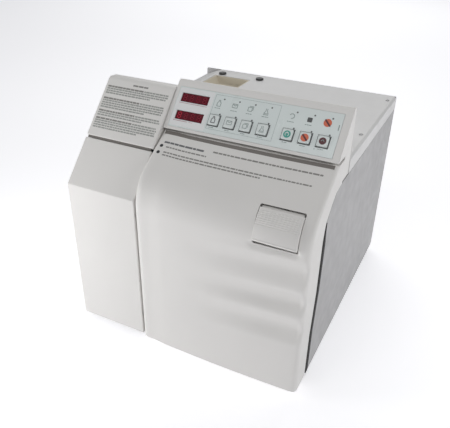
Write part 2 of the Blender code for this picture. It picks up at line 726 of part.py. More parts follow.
def build_handle(frame):
    housing = [
        (HANDLE_LEFT - 0.0020, 0.2370),
        (HANDLE_RIGHT + 0.0020, 0.2370),
        (HANDLE_RIGHT + 0.0020, 0.2860),
        (HANDLE_LEFT - 0.0020, 0.2860),
    ]
    cup = add_mesh("handle_housing", prism(housing, "Y", 0.0040, 0.0355), "shell", frame)
    steps = [0.2930 - 0.0070 * i for i in range(10)]
    outside = [(-0.0200, 0.2300), (-0.0200, steps[0])]
    outside += [(door_front_y(z, SHELL + 0.0006) + DOOR_BOW, z) for z in steps]
    cut(cup, prism(outside, "X", 0.100, 0.190))
    cavity = (HANDLE_LEFT, -0.010, 0.2392), (HANDLE_RIGHT, 0.0335, 0.3000)
    cut(cup, box(*cavity))
    cut(cup, box((HOOK_X - 0.0045, 0.0300, 0.2600), (HOOK_X + 0.0045, 0.0400, 0.3000)))
    cut(cup, prism(circle(*HANDLE_AXIS, 0.0018, 12), "X", 0.100, 0.190))

    y, z = HANDLE_AXIS
    axis = add_empty("handle_axis", (0, y, z), frame)
    grip = add_empty("handle_frame", (0, -y, -z), axis)
    centre = (DOOR_BLEND, blend_centre_z())
    outer = [
        (centre[0] - radius * math.cos(math.radians(a)), centre[1] + radius * math.sin(math.radians(a)))
        for a, radius in ((49.5, 0.0597), (40, 0.0608), (30, 0.0617), (20, 0.0624), (10, 0.0628))
    ]
    outer += [(-0.0030, 0.2495), (-0.0018, 0.2465), (0.0012, 0.2465)]
    inner = [
        (centre[0] - 0.0575 * math.cos(math.radians(a)), centre[1] + 0.0575 * math.sin(math.radians(a)))
        for a in (10, 20, 30, 40, 47)
    ]
    low = HANDLE_LEFT + 0.0012
    high = HANDLE_RIGHT - 0.0012
    handle = add_mesh("door_handle", prism(outer + inner, "X", low, high), "shell", grip)
    fuse(handle, prism(circle(y, z, 0.0042, 16), "X", low + 0.002, high - 0.002))
    fuse(handle, box((low + 0.002, 0.0190, 0.2775), (high - 0.002, 0.0270, 0.2830)))
    cut(handle, prism(circle(y, z, 0.0018, 12), "X", 0.100, 0.190))
    pin = circle(y, z, 0.0015, 12)
    add_mesh("handle_pin", prism(pin, "X", HANDLE_LEFT - 0.0015, HANDLE_RIGHT + 0.0015), "stainless", frame)
    hook = [
        (0.0310, 0.2830),
        (0.0310, 0.2755),
        (0.0570, 0.2620),
        (0.0585, 0.2700),
        (0.0530, 0.2700),
        (0.0515, 0.2672),
    ]
    add_mesh("latch_hook", prism(hook, "X", HOOK_X - 0.003, HOOK_X + 0.003), "zinc", grip)


def main():
    clear_scene()
    root = add_empty("machine", (0, -CENTRE_Y, FOOT_HEIGHT))
    build_base(root)
    build_side_panels(root)
    build_rear_panel(root)
    build_top_cover(root)
    build_column(root)
    build_front_frame(root)
    build_chamber(root)
    build_trays(root)
    build_service_parts(root)
    build_hood(root)
    build_door(root)


main()
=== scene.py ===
"""Looks of the benchtop autoclave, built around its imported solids.

Places are in "machine" coordinates, in metres: X to the right, Y back from the door's front
face, Z up from the cabinet's underside. place() turns them into the row's own frame.
"""
import json
import math

import bmesh
import bpy
from mathutils import Matrix, Vector

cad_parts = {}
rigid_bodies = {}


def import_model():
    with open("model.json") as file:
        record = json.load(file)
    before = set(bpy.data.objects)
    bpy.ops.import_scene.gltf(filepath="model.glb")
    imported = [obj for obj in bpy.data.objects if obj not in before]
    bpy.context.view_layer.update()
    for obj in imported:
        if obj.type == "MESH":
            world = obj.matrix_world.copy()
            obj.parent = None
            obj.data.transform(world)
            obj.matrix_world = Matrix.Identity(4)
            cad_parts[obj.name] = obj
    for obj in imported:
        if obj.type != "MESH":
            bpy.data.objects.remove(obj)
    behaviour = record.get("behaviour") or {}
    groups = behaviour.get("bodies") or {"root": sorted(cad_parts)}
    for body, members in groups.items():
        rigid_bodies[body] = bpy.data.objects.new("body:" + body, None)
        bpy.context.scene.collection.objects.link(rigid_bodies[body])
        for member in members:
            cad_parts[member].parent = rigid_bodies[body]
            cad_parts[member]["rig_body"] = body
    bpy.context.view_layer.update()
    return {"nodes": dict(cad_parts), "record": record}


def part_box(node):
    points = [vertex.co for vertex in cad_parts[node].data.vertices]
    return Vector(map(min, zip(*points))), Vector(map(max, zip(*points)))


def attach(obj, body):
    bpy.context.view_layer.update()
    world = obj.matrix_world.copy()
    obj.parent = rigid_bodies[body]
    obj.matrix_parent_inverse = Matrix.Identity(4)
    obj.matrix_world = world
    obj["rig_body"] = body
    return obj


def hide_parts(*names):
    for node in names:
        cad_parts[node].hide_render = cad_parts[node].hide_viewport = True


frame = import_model()

ORIGIN = Vector((0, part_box("door_cover")[0].y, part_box("right_side_panel")[0].z))
HALF_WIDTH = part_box("right_side_panel")[1].x
# Half the thickness of a printed layer
LIFT = 0.00012

# Door: upright face, round bend and incline, as in the solids
DOOR_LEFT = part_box("door_cover")[0].x
DOOR_TOP = (0.0872, 0.3295)
DOOR_INCLINE = math.radians(33)
DOOR_BLEND = 0.060
DOOR_BOW = 0.003
DOOR_SHELL = 0.003
DOOR_RIM_GAP = {"low": 0.0040, "high": 0.0022}
DOOR_RIM_NARROWS = (0.250, 0.270)
PIVOT_RADIUS = 0.012
CORNER_RADIUS = 0.008
# Front edge of the side panels: (y, z) corners from the bottom up
SIDE_EDGE = (
    (0.047, 0.000),
    (0.048, 0.080),
    (0.057, 0.150),
    (0.059, 0.235),
    (0.064, 0.262),
    (0.084, 0.281),
    (0.097, 0.2905),
    (0.121, 0.294),
)
# Waves in the door's front: height at its right edge, and share of the full depth there
WAVES = (
    (0.237, 0.0),
    (0.213, 0.8),
    (0.186, 0.0),
    (0.161, 1.0),
    (0.140, 0.0),
    (0.115, 1.0),
    (0.088, 0.0),
)
WAVE_DEPTH = 0.0078
WAVE_DROP = 0.05
# Finger dish under the handle
DISH_DEPTH = 0.0030
DISH_LEVELS = (0.2285, 0.2400, 0.2460)
# Black rubber strip on the right side panel, painted shade of the gap behind the door's rim: where it starts,
# narrows and ends, and how far it reaches back
SHADE_STRIP_LEVELS = (0.0015, 0.2250, 0.2600)
SHADE_STRIP_LEG = {"low": 0.0085, "high": 0.0015}
SHADE_STRIP_THICKNESS = 0.0006

HANDLE_LEFT = 0.1150
HANDLE_RIGHT = 0.1780
HANDLE_AXIS = (0.0265, 0.2815)
HANDLE_GAP = 0.0008
BARREL_RADIUS = 0.0042
# Grip lines: the share of the handle's height that they cover, from its top, their pitch and their depth
GRIP_SPAN = (0.06, 0.58)
GRIP_PITCH = 0.065
GRIP_DEPTH = 0.00055
HINGE_LEVELS = (0.040, 0.225)

# Control panel: its lower edge as (y, z), its slope, and places along (x) and up (s) that slope
HOOD_LIP = (0.0915, 0.3335)
HOOD_ANGLE = math.radians(48.7)
ICONS = (0.0022, 0.0273, 0.0516, 0.0755)
ICON_SIZE = 0.0092
LAMPS = (0.0086, 0.0326, 0.0572, 0.0819, 0.1191, 0.1439, 0.1688)
RESET_SIGN = 0.1131
SQUARE_SIGN = 0.1386
STOP_SIGN = 0.1633
CYCLE_FIELD = ((-0.0060, 0.0118), (0.0945, 0.0645))
KEY_ROW = 0.0255
KEY_TOP = 0.0026
KEY_HALF = 0.0075
ICON_ROW = 0.0520
LED_ROWS = (0.0590, 0.0341)
DISPLAYS = {"display_lens_upper": 0.0518, "display_lens_lower": 0.0240}
LENS_TOP = -0.0002
FILM_TOP = 0.0002
KEYS = {
    "key_cycle_one": 0.0026,
    "key_cycle_two": 0.0277,
    "key_cycle_three": 0.0526,
    "key_cycle_four": 0.0779,
    "key_start": 0.1145,
    "key_stop": 0.1395,
    "key_vent": 0.1645,
}

# Lower and upper ends of the column's label, as (y, z)
TOWER_SLOPE = ((0.0635, 0.3097), (0.1290, 0.3797))
TOP_Z = 0.319
REAR_Y = 0.4565
FRAME_Y = 0.0645
LINER_Y = 0.0400
FILLER = (-0.117, 0.290)

# Chamber: its axis as (x, z), its inner radius and its depth
CHAMBER = (0.060, 0.150)
BORE = 0.1143
VESSEL_RADIUS = BORE + 0.0025
CHAMBER_BACK = 0.440
TRAY_LEVELS = {"tray_lower": 0.105, "tray_upper": 0.180}
TRAY_DEPTHS = (0.085, 0.415)
HOLE_ROWS = 18
HOLE_COLUMNS = 8
RUNNER = 0.0765


# ---------------------------------------------------------------- mesh helpers
def place(x, y, z):
    return ORIGIN + Vector((x, y, z))


def on_hood(x, s, height):
    """A point on the control panel: s up along its slope, height out of it."""
    y = HOOD_LIP[0] + s * math.cos(HOOD_ANGLE) - height * math.sin(HOOD_ANGLE)
    z = HOOD_LIP[1] + s * math.sin(HOOD_ANGLE) + height * math.cos(HOOD_ANGLE)
    return place(x, y, z)


def on_film(x, s, height):
    return on_hood(x, s, FILM_TOP + height)


def on_lens(x, s, height):
    return on_hood(x, s, LENS_TOP + height)


def on_tower(x, s, height):
    """A point on the column's sloping label: s up along it from its lower edge, height out of it."""
    (y0, z0), (y1, z1) = TOWER_SLOPE
    slope = math.atan2(z1 - z0, y1 - y0)
    y = y0 + s * math.cos(slope) - height * math.sin(slope)
    return place(x, y, z0 + s * math.sin(slope) + height * math.cos(slope))


def on_top(x, y, height):
    return place(x, y, TOP_Z + height)


def on_rear(x, z, height):
    return place(x, REAR_Y + height, z)


def arc(u, v, radius, start, end, steps):
    angles = [math.radians(start + (end - start) * i / steps) for i in range(steps + 1)]
    return [(u + radius * math.cos(a), v + radius * math.sin(a)) for a in angles]


def rounded(low, high, radius, steps=4):
    """The outline of a rectangle with round corners."""
    points = arc(high[0] - radius, low[1] + radius, radius, -90, 0, steps)
    points += arc(high[0] - radius, high[1] - radius, radius, 0, 90, steps)
    points += arc(low[0] + radius, high[1] - radius, radius, 90, 180, steps)
    points += arc(low[0] + radius, low[1] + radius, radius, 180, 270, steps)
    return points


def loft(sections, bm=None):
    """Close a row of equal-length loops into one solid: a ring if it ends where it starts."""
    bm = bm or bmesh.new()
    is_ring = sections[0] == sections[-1]
    rings = [[bm.verts.new(point) for point in section] for section in sections[: -1 if is_ring else None]]
    count = len(rings[0])
    if is_ring:
        rings.append(rings[0])
    for lower, upper in zip(rings, rings[1:]):
        for i in range(count):
            j = (i + 1) % count
            bm.faces.new((lower[i], lower[j], upper[j], upper[i]))
    if not is_ring:
        bm.faces.new(rings[0])
        bm.faces.new(rings[-1])
    return bm


def turned(profile, centre, steps, axis="Y"):
    """Spin a (radius, along) profile about the Y or X axis through centre."""
    sections = []
    for radius, along in profile:
        ring = []
        for i in range(steps):
            a = 2 * math.pi * i / steps
            u = centre[0] + radius * math.cos(a)
            v = centre[1] + radius * math.sin(a)
            ring.append(place(u, along, v) if axis == "Y" else place(along, u, v))
        sections.append(ring)
    return loft(sections)


def smooth_faces(obj, angle):
    """Smooth shading, with edges sharper than the angle kept crisp."""
    obj.data.shade_smooth()
    obj.data.set_sharp_from_angle(angle=math.radians(angle))


def add_piece(name, bm, material, body, smooth=35):
    """A new object made from a bmesh, riding on a body if one is named."""
    bmesh.ops.recalc_face_normals(bm, faces=bm.faces)
    mesh = bpy.data.meshes.new(name)
    bm.to_mesh(mesh)
    bm.free()
    obj = bpy.data.objects.new(name, mesh)
    bpy.context.scene.collection.objects.link(obj)
    mesh.materials.append(material)
    smooth_faces(obj, smooth)
    if body:
        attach(obj, body)
    return obj


def soften(obj, width, segments, angle=32):
    """Round an object's sharp edges."""
    step = obj.modifiers.new("round_edges", "BEVEL")
    step.width = width
    step.segments = segments
    step.limit_method = "ANGLE"
    step.angle_limit = math.radians(angle)
    step.harden_normals = True
    step.use_clamp_overlap = True


def subtract(obj, bm):
    """Cut a bmesh out of an object at once."""
    tool = add_piece("cutter", bm, obj.data.materials[0], None)
    step = obj.modifiers.new("cut", "BOOLEAN")
    step.operation = "DIFFERENCE"
    step.solver = "EXACT"
    step.object = tool
    bpy.context.view_layer.update()
    result = bpy.data.meshes.new_from_object(obj.evaluated_get(bpy.context.evaluated_depsgraph_get()))
    obj.modifiers.clear()
    obj.data = result
    bpy.data.objects.remove(tool)


def refined(node, material, width, segments=2):
    """A round-edged copy of a CAD node, which stands for it."""
    source = frame["nodes"][node]
    bm = bmesh.new()
    bm.from_mesh(source.data)
    bmesh.ops.remove_doubles(bm, verts=bm.verts, dist=2e-6)
    bmesh.ops.dissolve_limit(bm, angle_limit=math.radians(0.6), verts=bm.verts, edges=bm.edges)
    obj = add_piece(f"{node}_shell", bm, material, source["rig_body"], 32)
    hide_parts(node)
    soften(obj, width, segments)


def slot_of(node):
    """The record's material slot of a node."""
    slots = {row["node"]: row["material_slot"] for row in frame["record"]["subparts"]}
    return slots[node]


# ---------------------------------------------------------------- materials
def surface(
    name, colour, rough, metal=0.0, grain=1800.0, bump=0.02, blotch=9.0, vary=0.03, wear=0.0,
    stretch=(1, 1, 1), wear_colour=None, rough_vary=0.08, coat=0.0, sheen=0.0, translucent=0.0,
):
    """A procedural material: fine grain in its bump, uneven colour and gloss, and rubbed edges."""
    material = bpy.data.materials.new(name)
    material.use_nodes = True
    nodes = material.node_tree.nodes
    links = material.node_tree.links
    shader = nodes["Principled BSDF"]
    shader.inputs["Metallic"].default_value = metal
    shader.inputs["Coat Weight"].default_value = coat
    shader.inputs["Sheen Weight"].default_value = sheen
    shader.inputs["Subsurface Weight"].default_value = translucent
    shader.inputs["Subsurface Scale"].default_value = 0.004
    where = nodes.new("ShaderNodeTexCoord")
    mapping = nodes.new("ShaderNodeMapping")
    mapping.inputs["Scale"].default_value = stretch
    links.new(where.outputs["Object"], mapping.inputs["Vector"])

    def noise(scale, detail, source=mapping.outputs["Vector"]):
        node = nodes.new("ShaderNodeTexNoise")
        node.inputs["Scale"].default_value = scale
        node.inputs["Detail"].default_value = detail
        links.new(source, node.inputs["Vector"])
        return node.outputs["Fac"]

    def mix(factor, first, second):
        node = nodes.new("ShaderNodeMix")
        node.data_type = "RGBA"
        links.new(factor, node.inputs["Factor"])
        for socket, value in (("A", first), ("B", second)):
            target = [i for i in node.inputs if i.name == socket and i.type == "RGBA"][0]
            if isinstance(value, tuple):
                target.default_value = (*value, 1)
            else:
                links.new(value, target)
        return [o for o in node.outputs if o.type == "RGBA"][0]

    def spread(factor, low, high):
        node = nodes.new("ShaderNodeMapRange")
        node.inputs["From Min"].default_value = 0.3
        node.inputs["From Max"].default_value = 0.7
        node.inputs["To Min"].default_value = low
        node.inputs["To Max"].default_value = high
        links.new(factor, node.inputs["Value"])
        return node.outputs["Result"]

    large = spread(noise(blotch, 4, where.outputs["Object"]), 0.0, 1.0)
    dark = tuple(c * (1 - vary) for c in colour)
    light = tuple(min(1.0, c * (1 + vary)) for c in colour)
    colour_out = mix(large, dark, light)
    if wear:
        bevel = nodes.new("ShaderNodeBevel")
        bevel.samples = 4
        bevel.inputs["Radius"].default_value = 0.0012
        geometry = nodes.new("ShaderNodeNewGeometry")
        dot = nodes.new("ShaderNodeVectorMath")
        dot.operation = "DOT_PRODUCT"
        links.new(bevel.outputs["Normal"], dot.inputs[0])
        links.new(geometry.outputs["True Normal"], dot.inputs[1])
        edge = nodes.new("ShaderNodeMapRange")
        edge.inputs["From Min"].default_value = 0.99
        edge.inputs["From Max"].default_value = 0.80
        edge.inputs["To Max"].default_value = wear
        links.new(dot.outputs["Value"], edge.inputs["Value"])
        patchy = nodes.new("ShaderNodeMath")
        patchy.operation = "MULTIPLY"
        links.new(edge.outputs["Result"], patchy.inputs[0])
        links.new(spread(noise(90.0, 5), 0.2, 1.0), patchy.inputs[1])
        rubbed = wear_colour or tuple(min(1.0, c * 1.15) for c in colour)
        colour_out = mix(patchy.outputs["Value"], colour_out, rubbed)
    links.new(colour_out, shader.inputs["Base Color"])
    uneven = spread(noise(55.0, 5), max(0.02, rough - rough_vary), min(1.0, rough + rough_vary))
    links.new(uneven, shader.inputs["Roughness"])
    relief = nodes.new("ShaderNodeBump")
    relief.inputs["Strength"].default_value = 1.0
    relief.inputs["Distance"].default_value = bump * 0.001
    links.new(noise(grain, 3), relief.inputs["Height"])
    links.new(relief.outputs["Normal"], shader.inputs["Normal"])
    return material


def ink(name, colour, rough=0.5, vary=0.04):
    """A thin printed layer."""
    return surface(name, colour, rough, bump=0.004, vary=vary)


M = {
    "white": surface("moulded_white", (0.78, 0.765, 0.74), 0.46, bump=0.020, vary=0.012, wear=0.35),
    "liner": surface("moulded_white_inner", (0.70, 0.69, 0.67), 0.55, bump=0.03, vary=0.02, wear=0.2),
    "paint": surface("powder_coat_white", (0.72, 0.715, 0.705), 0.42, grain=1500, bump=0.022, vary=0.012,
                     wear=0.3),
    "well": surface("moulded_beige", (0.66, 0.60, 0.48), 0.5, bump=0.02, vary=0.02, wear=0.2),
    "film": surface("printed_film", (0.74, 0.80, 0.785), 0.34, grain=2400, bump=0.006, vary=0.01, coat=0.1),
    "film_white": surface("printed_film_white", (0.82, 0.83, 0.825), 0.34, grain=2400, bump=0.006, vary=0.01),
    "label": surface("label_film", (0.76, 0.75, 0.73), 0.4, grain=2400, bump=0.006, vary=0.01),
    "key": surface("key_cap_pale", (0.74, 0.79, 0.775), 0.38, bump=0.012, vary=0.01, wear=0.3),
    "green": ink("print_green", (0.06, 0.36, 0.29), 0.4, 0.03),
    "orange": ink("print_orange", (0.70, 0.15, 0.075), 0.4, 0.03),
    "maroon": ink("print_maroon", (0.10, 0.025, 0.03), 0.4, 0.05),
    "ink_pink": ink("print_pink_grey", (0.52, 0.36, 0.38)),
    "ink": ink("print_grey", (0.16, 0.165, 0.17)),
    "ink_label": ink("print_label_grey", (0.36, 0.37, 0.35), vary=0.05),
    "ink_mid": ink("print_warm_grey", (0.27, 0.265, 0.25)),
    "ink_dark": ink("print_black", (0.035, 0.037, 0.04), vary=0.05),
    "ink_soft": ink("print_sage", (0.30, 0.36, 0.345)),
    "lens": surface("display_window_red", (0.115, 0.0, 0.010), 0.14, grain=900, bump=0.003, vary=0.06,
                    coat=0.6),
    "segment": surface("display_digit_off", (0.22, 0.004, 0.018), 0.3, grain=900, bump=0.003, vary=0.05),
    "segment_lit": surface("display_digit_on", (0.52, 0.02, 0.04), 0.3, grain=900, bump=0.003, vary=0.05),
    "black": surface("moulded_black", (0.018, 0.018, 0.019), 0.48, bump=0.03, vary=0.1, wear=0.5,
                     wear_colour=(0.06, 0.06, 0.06)),
    "rubber": surface("foot_rubber_black", (0.022, 0.021, 0.020), 0.78, grain=900, bump=0.06, vary=0.15,
                      wear=0.4, wear_colour=(0.07, 0.07, 0.065)),
    "zinc": surface("zinc_plate", (0.56, 0.56, 0.55), 0.36, 1.0, grain=420, bump=0.010, blotch=30, vary=0.07,
                    wear=0.4, rough_vary=0.1),
    "steel": surface("brushed_stainless", (0.62, 0.62, 0.61), 0.27, 1.0, grain=500, bump=0.012, vary=0.03,
                     stretch=(1, 0.03, 1), wear=0.3, rough_vary=0.08),
    "plate": surface("turned_stainless", (0.64, 0.64, 0.63), 0.24, 1.0, grain=300, bump=0.010, vary=0.03,
                     stretch=(1, 1, 0.08), wear=0.3),
    "brass": surface("machined_brass", (0.62, 0.45, 0.17), 0.3, 1.0, grain=300, bump=0.010, blotch=40,
                     vary=0.08, wear=0.4),
    "silicone": surface("gasket_silicone_red", (0.36, 0.085, 0.050), 0.62, grain=1200, bump=0.02, vary=0.06,
                        sheen=0.2),
    "wool": surface("mineral_wool", (0.56, 0.52, 0.38), 0.95, grain=260, bump=0.8, blotch=60, vary=0.2,
                    sheen=0.3),
    "board": surface("board_green", (0.016, 0.16, 0.065), 0.42, grain=500, bump=0.02, blotch=80, vary=0.15),
    "tank": surface("polyethylene_milky", (0.74, 0.76, 0.72), 0.5, bump=0.02, vary=0.03, translucent=0.2),
    # Dark print for the lamps' dots and a square sign; the same ink also paints the shadow round the keys.
    "shade": ink("dark_print_and_painted_key_shadow", (0.10, 0.105, 0.105)),
    # Grey-brown for the column's joint strip, and for a band of painted shade under the control panel's lip.
    "dark_strip_and_shade": surface("grey_brown_strip_and_painted_shade", (0.19, 0.175, 0.16), 0.6, bump=0.02, vary=0.08),
    # The bulkhead's near-black is painted shade, so that the gap round the door reads dark.
    "frame": surface("bulkhead_painted_gap_shade", (0.07, 0.07, 0.072), 0.5, grain=650, bump=0.035, vary=0.06,
                     wear=0.4, wear_colour=(0.2, 0.2, 0.2)),
    "side": surface("powder_coat_side", (0.40, 0.395, 0.395), 0.42, grain=1500, bump=0.022, vary=0.012,
                    wear=0.3),
    "screw": surface("screw_nickel", (0.50, 0.50, 0.50), 0.3, 1.0, grain=300, bump=0.006, blotch=200,
                     vary=0.08),
}


# ---------------------------------------------------------------- printing
def print_patches(name, outlines, where, material, body, level=0):
    """Thin printed shapes: outlines, and a function that puts (u, v, height) on a surface."""
    bm = bmesh.new()
    for outline in outlines:
        loft([[where(u, v, LIFT * (2 * level + h)) for u, v in outline] for h in (-1, 1)], bm)
    return add_piece(name, bm, material, body)


def stroke(u0, v0, u1, v1, width):
    """The outline of a straight printed stroke."""
    length = math.hypot(u1 - u0, v1 - v0)
    du = (u1 - u0) / length * width / 2
    dv = (v1 - v0) / length * width / 2
    return [(u0 - dv, v0 + du), (u1 - dv, v1 + du), (u1 + dv, v1 - du), (u0 + dv, v0 - du)]


def path(points, width):
    return [stroke(*start, *end, width) for start, end in zip(points, points[1:])]


def frame_strokes(u, v, half_u, half_v, width):
    corners = ((-1, -1), (1, -1), (1, 1), (-1, 1), (-1, -1))
    return path([(u + a * half_u, v + b * half_v) for a, b in corners], width)


def disc(u, v, radius, steps=24):
    return arc(u, v, radius, 0, 360 - 360 / steps, steps - 1)


def bar_outlines(bars):
    """The outlines of (u0, u1, v, thickness) bars."""
    return [stroke(u0, v, u1, v, thick) for u0, u1, v, thick in bars]


def print_bars(name, bars, where, material, body, steps=1):
    """Thin printed bars that follow a surface. A bar is (u0, u1, v, thickness)."""
    bm = bmesh.new()
    for u0, u1, v, thick in bars:
        sections = []
        for i in range(steps + 1):
            u = u0 + (u1 - u0) * i / steps
            low = v - thick / 2
            high = v + thick / 2
            corners = ((low, -LIFT), (high, -LIFT), (high, LIFT), (low, LIFT))
            sections.append([where(u, w, h) for w, h in corners])
        loft(sections, bm)
    return add_piece(name, bm, material, body)


def greek(start, end, v, thick, seed, word=(0.004, 0.010), space=0.0013):
    """A printed line drawn as plain bars of uneven lengths, one for each word."""
    bars = []
    u = start
    value = seed
    while u < end:
        value = (value * 1103515245 + 12345) % 2147483648
        length = word[0] + (word[1] - word[0]) * (value / 2147483648)
        bars.append((u, min(u + length, end), v, thick))
        u += length + space
    return [bar for bar in bars if bar[1] - bar[0] > 0.0008]


# ---------------------------------------------------------------- door
def side_edge_y(z):
    """Where the side panel's front edge lies at a height."""
    for (y0, z0), (y1, z1) in zip(SIDE_EDGE, SIDE_EDGE[1:]):
        if z <= z1:
            return y0 + (y1 - y0) * (z - z0) / (z1 - z0)
    return SIDE_EDGE[-1][0]


def door_rear_y(z):
    """Where the door's rim ends at a height."""
    start, end = DOOR_RIM_NARROWS
    share = min(1.0, max(0.0, (z - start) / (end - start)))
    gap = DOOR_RIM_GAP["low"] + share * (DOOR_RIM_GAP["high"] - DOOR_RIM_GAP["low"])
    return side_edge_y(z) - gap


def blend_centre_z():
    meeting = DOOR_TOP[1] - DOOR_TOP[0] * math.tan(DOOR_INCLINE)
    return meeting - DOOR_BLEND * math.tan((math.pi / 2 - DOOR_INCLINE) / 2)


def door_front_y(z, inset):
    """Where the door's front lies at a height: upright, then round, then sloping."""
    rise = z - blend_centre_z()
    radius = DOOR_BLEND - inset
    if rise <= 0:
        return inset
    if rise <= radius * math.cos(DOOR_INCLINE):
        return DOOR_BLEND - math.sqrt(radius**2 - rise**2)
    above = rise - radius * math.cos(DOOR_INCLINE)
    return DOOR_BLEND - radius * math.sin(DOOR_INCLINE) + above / math.tan(DOOR_INCLINE)


def smooth_step(value, low, high):
    t = min(1.0, max(0.0, (value - low) / (high - low)))
    return t * t * (3 - 2 * t)


def door_bow(x):
    """How far the bowed front lies back: it stays flat beside the hinge, to clear the column."""
    middle = (DOOR_LEFT + HALF_WIDTH) / 2
    bow = DOOR_BOW * ((x - middle) / (HALF_WIDTH - middle)) ** 2
    return bow + (DOOR_BOW - bow) * (1 - smooth_step(x, -0.052, -0.025))


def door_wave(x, z):
    """How far the front lies behind its plain surface, nothing at the left and most at the right."""
    height = z + WAVE_DROP * (HALF_WIDTH - x)
    for (high, above), (low, below) in zip(WAVES, WAVES[1:]):
        if low <= height < high:
            share = above + (below - above) * smooth_step(high - height, 0.0, high - low)
            return share * WAVE_DEPTH * smooth_step(x, 0.0, 0.170)
    return 0.0


def door_dish(x, z):
    """Depth of the finger dish, deepest along the handle's lower edge."""
    low, middle, high = DISH_LEVELS
    across = smooth_step(x, HANDLE_LEFT - 0.010, HANDLE_LEFT + 0.004)
    across *= 1 - smooth_step(x, HANDLE_RIGHT - 0.003, HANDLE_RIGHT + 0.007)
    return DISH_DEPTH * across * smooth_step(z, low, middle) * (1 - smooth_step(z, middle, high))


def door_relief(x, z, inset):
    """How far waves and dish press the outer front back, or the inner one a little less."""
    depth = max(door_wave(x, z), door_dish(x, z))
    return max(0.0, depth - 0.001) if inset else depth


def door_section(z, inset, rear, corner_steps, front_steps):
    """One level outline of the door's outer or inner skin."""
    left = DOOR_LEFT + inset
    right = HALF_WIDTH - inset
    front = door_front_y(z, inset)
    edge = front + DOOR_BOW
    pivot = PIVOT_RADIUS - inset
    corner = CORNER_RADIUS - inset
    points = [(left, rear)]
    points += arc(left + pivot, edge + pivot, pivot, 180, 270, corner_steps)
    for i in range(1, front_steps):
        x = left + pivot + (right - corner - left - pivot) * i / front_steps
        points.append((x, front + door_bow(x) + door_relief(x, z, inset)))
    wave = door_relief(right, z, inset)
    for i, (x, y) in enumerate(arc(right - corner, edge + corner, corner, 270, 360, corner_steps)):
        points.append((x, y + wave * (1 - i / corner_steps)))
    points.append((right, rear))
    return [place(x, y, z) for x, y in points]


def door_levels(inset, steps):
    """Heights of the door's sections: every corner of its rim, and even steps between them."""
    low = inset
    high = DOOR_TOP[1] - inset
    levels = [low, high, *(z for _, z in SIDE_EDGE[1:]), *DOOR_RIM_NARROWS]
    for i in range(1, steps):
        z = low + (high - low) * i / steps
        if min(abs(z - level) for level in levels) > 0.0008:
            levels.append(z)
    return sorted(levels)


def build_door_cover():
    """The door's waved skin, with the handle's window and a slot for each hinge arm."""
    outer = [door_section(z, 0.0, door_rear_y(z), 7, 90) for z in door_levels(0.0, 150)]
    cover = add_piece("door_cover_skin", loft(outer), M["white"], "door", 40)
    inner = [door_section(z, DOOR_SHELL, side_edge_y(z) + 0.02, 4, 24) for z in door_levels(DOOR_SHELL, 70)]
    subtract(cover, loft(inner))
    window = rounded((HANDLE_LEFT, 0.2400), (HANDLE_RIGHT, 0.2885), 0.0025)
    subtract(cover, loft([[place(u, y, v) for u, v in window] for y in (-0.020, 0.0340)]))
    for z in HINGE_LEVELS:
        slot = rounded((0.0085, z - 0.0035), (0.0700, z + 0.0035), 0.0015)
        subtract(cover, loft([[place(x, u, v) for u, v in slot] for x in (-0.080, -0.064)]))
    smooth_faces(cover, 40)
    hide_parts("door_cover")
    soften(cover, 0.0007, 2, 45)


def build_rim_shade_strip():
    """A black rubber strip that wraps the right side panel's front edge behind the door's rim, as painted
    shade of the gap there.
    """
    low, narrows, high = SHADE_STRIP_LEVELS
    steps = 60
    inner = HALF_WIDTH - 0.0025
    face = HALF_WIDTH + 0.0001
    outer = HALF_WIDTH + SHADE_STRIP_THICKNESS
    sections = []
    for i in range(steps + 1):
        z = low + (high - low) * i / steps
        edge = side_edge_y(z) - 0.00015
        front = edge - 0.0011
        leg = edge + SHADE_STRIP_LEG["low"] + (SHADE_STRIP_LEG["high"] - SHADE_STRIP_LEG["low"]) * smooth_step(z, narrows, high)
        outline = (
            (inner, front),
            (outer - 0.0004, front),
            (outer, front + 0.0004),
            (outer, leg - 0.0003),
            (face, leg),
            (face, edge),
            (inner, edge),
        )
        sections.append([place(x, y, z) for x, y in outline])
    # The strip takes the black rubber finish as painted shade in the gap behind the door's rim.
    rim_shade = add_piece("door_rim_shade_strip", loft(sections), M["rubber"], "cabinet")


def on_door(x, down, height):
    """A point on the door's incline: down its slope from the top edge, height out of it."""
    y = DOOR_TOP[0] - down * math.cos(DOOR_INCLINE)
    z = DOOR_TOP[1] - down * math.sin(DOOR_INCLINE)
    return place(x, y + door_bow(x) - height * math.sin(DOOR_INCLINE), z + height * math.cos(DOOR_INCLINE))


def build_door_print():
    """Plain bars where the door carries printed lines, two round bullets, and a dark band of painted shade
    under the control panel's lip.
    """
    heading = greek(-0.0600, 0.0070, 0.0185, 0.0030, 7, (0.004, 0.012), 0.0010)
    print_bars("door_print_heading", heading, on_door, M["ink"], "door", 2)
    bars = greek(0.0200, 0.1810, 0.0165, 0.0024, 11, (0.003, 0.010), 0.0011)
    bars += greek(-0.0540, 0.0130, 0.0262, 0.0021, 3, (0.002, 0.008), 0.0011)
    bars += greek(-0.0540, 0.1700, 0.0352, 0.0021, 5, (0.002, 0.008), 0.0011)
    bars += greek(-0.0540, 0.1000, 0.0400, 0.0021, 9, (0.002, 0.008), 0.0011)
    print_bars("door_print_lines", bars, on_door, M["ink_mid"], "door", 2)
    for i, down in enumerate((0.0255, 0.0370)):
        bullet = [disc(-0.0620, down, 0.0026)]
        dot = print_patches(f"door_print_dot_{i}", bullet, on_door, M["ink_dark"], "door")
    # A grey-brown band of painted shade along the door's top edge, under the control panel's lip.
    dark_strip_and_shade = [(DOOR_LEFT + 0.0060, HALF_WIDTH - 0.0050, 0.0015, 0.0058)]
    print_bars("door_top_painted_shade_band", dark_strip_and_shade, on_door, M["dark_strip_and_shade"], "door", 24)


def about_bend(angle, radius):
    """A (y, z) point about the door's bend, by its angle above the level."""
    a = math.radians(angle)
    return DOOR_BLEND - radius * math.cos(a), blend_centre_z() + radius * math.sin(a)


